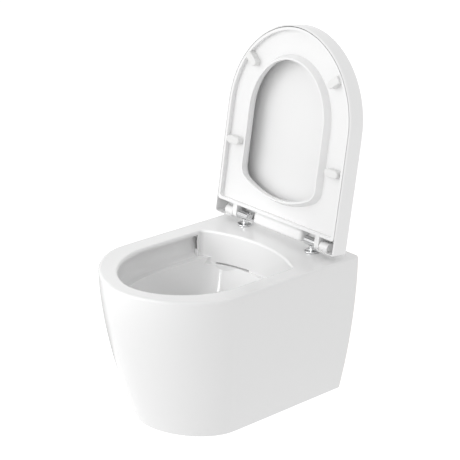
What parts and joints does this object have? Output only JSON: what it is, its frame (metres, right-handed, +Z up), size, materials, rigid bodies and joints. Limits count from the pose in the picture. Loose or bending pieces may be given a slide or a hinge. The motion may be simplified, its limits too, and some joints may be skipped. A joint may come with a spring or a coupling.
{
  "type": "wall hung toilet",
  "caption": "Wall hung toilet: a hollow glazed china pan with rimless bowl and trap, and a soft close seat and lid raised on chromed hinge posts.",
  "frame": {"origin": "midway between the two wall fixing holes, on the wall plane", "axes": "+Z up, +Y into the wall (the pan's front looks to -Y), +X to the right as seen from the front"},
  "size_m": [0.37, 0.5181, 0.7695],
  "materials": {
    "glazed_china": "gloss",
    "seat_white": "gloss",
    "white_rubber": "matte",
    "chrome": "polished",
    "steel": "plain",
    "cast_zinc": "as cast",
    "brass": "turned",
    "grey_rubber": "matte",
    "nylon": "matte",
    "dark_plastic": "matte"
  },
  "bodies": {
    "pan": {"ceramic_pan": "glazed_china", "fixing_sleeve_left": "nylon", "fixing_sleeve_right": "nylon", "fixing_anchor_left": "cast_zinc", "fixing_anchor_right": "cast_zinc", "clamp_screw_left": "steel", "clamp_screw_right": "steel", "rosette_gasket_left": "grey_rubber", "rosette_gasket_right": "grey_rubber", "hinge_rosette_left": "chrome", "hinge_rosette_right": "chrome", "hinge_post_left": "chrome", "hinge_post_right": "chrome", "hinge_cap_left": "chrome", "hinge_cap_right": "chrome", "hinge_stud_left": "steel", "hinge_stud_right": "steel", "stud_sleeve_left": "grey_rubber", "stud_sleeve_right": "grey_rubber", "stud_nut_left": "brass", "stud_nut_right": "brass", "damper_body_left": "dark_plastic", "damper_body_right": "dark_plastic", "damper_gland_left": "dark_plastic", "damper_gland_right": "dark_plastic"},
    "seat": {"seat_ring": "seat_white", "seat_bush": "nylon", "seat_rotor": "steel", "seat_buffer_back_left": "white_rubber", "seat_buffer_back_right": "white_rubber", "seat_buffer_front_left": "white_rubber", "seat_buffer_front_right": "white_rubber"},
    "lid": {"lid_shell": "seat_white", "lid_bush": "nylon", "lid_rotor": "steel", "lid_buffer_back_left": "white_rubber", "lid_buffer_back_right": "white_rubber", "lid_buffer_front_left": "white_rubber", "lid_buffer_front_right": "white_rubber"}
  },
  "joints": [
    {"name": "lid_hinge", "type": "hinge", "parent": "pan", "child": "lid", "pos_m": [0, -0.0554, 0.102], "axis": [1, 0, 0], "range_deg": [0, 99]},
    {"name": "seat_hinge", "type": "hinge", "parent": "pan", "child": "seat", "pos_m": [0, -0.0554, 0.102], "axis": [1, 0, 0], "range_deg": [0, 99]}
  ],
  "couplings": [
    {"joint": "lid_hinge", "follows": "seat_hinge", "ratio": 1}
  ]
}
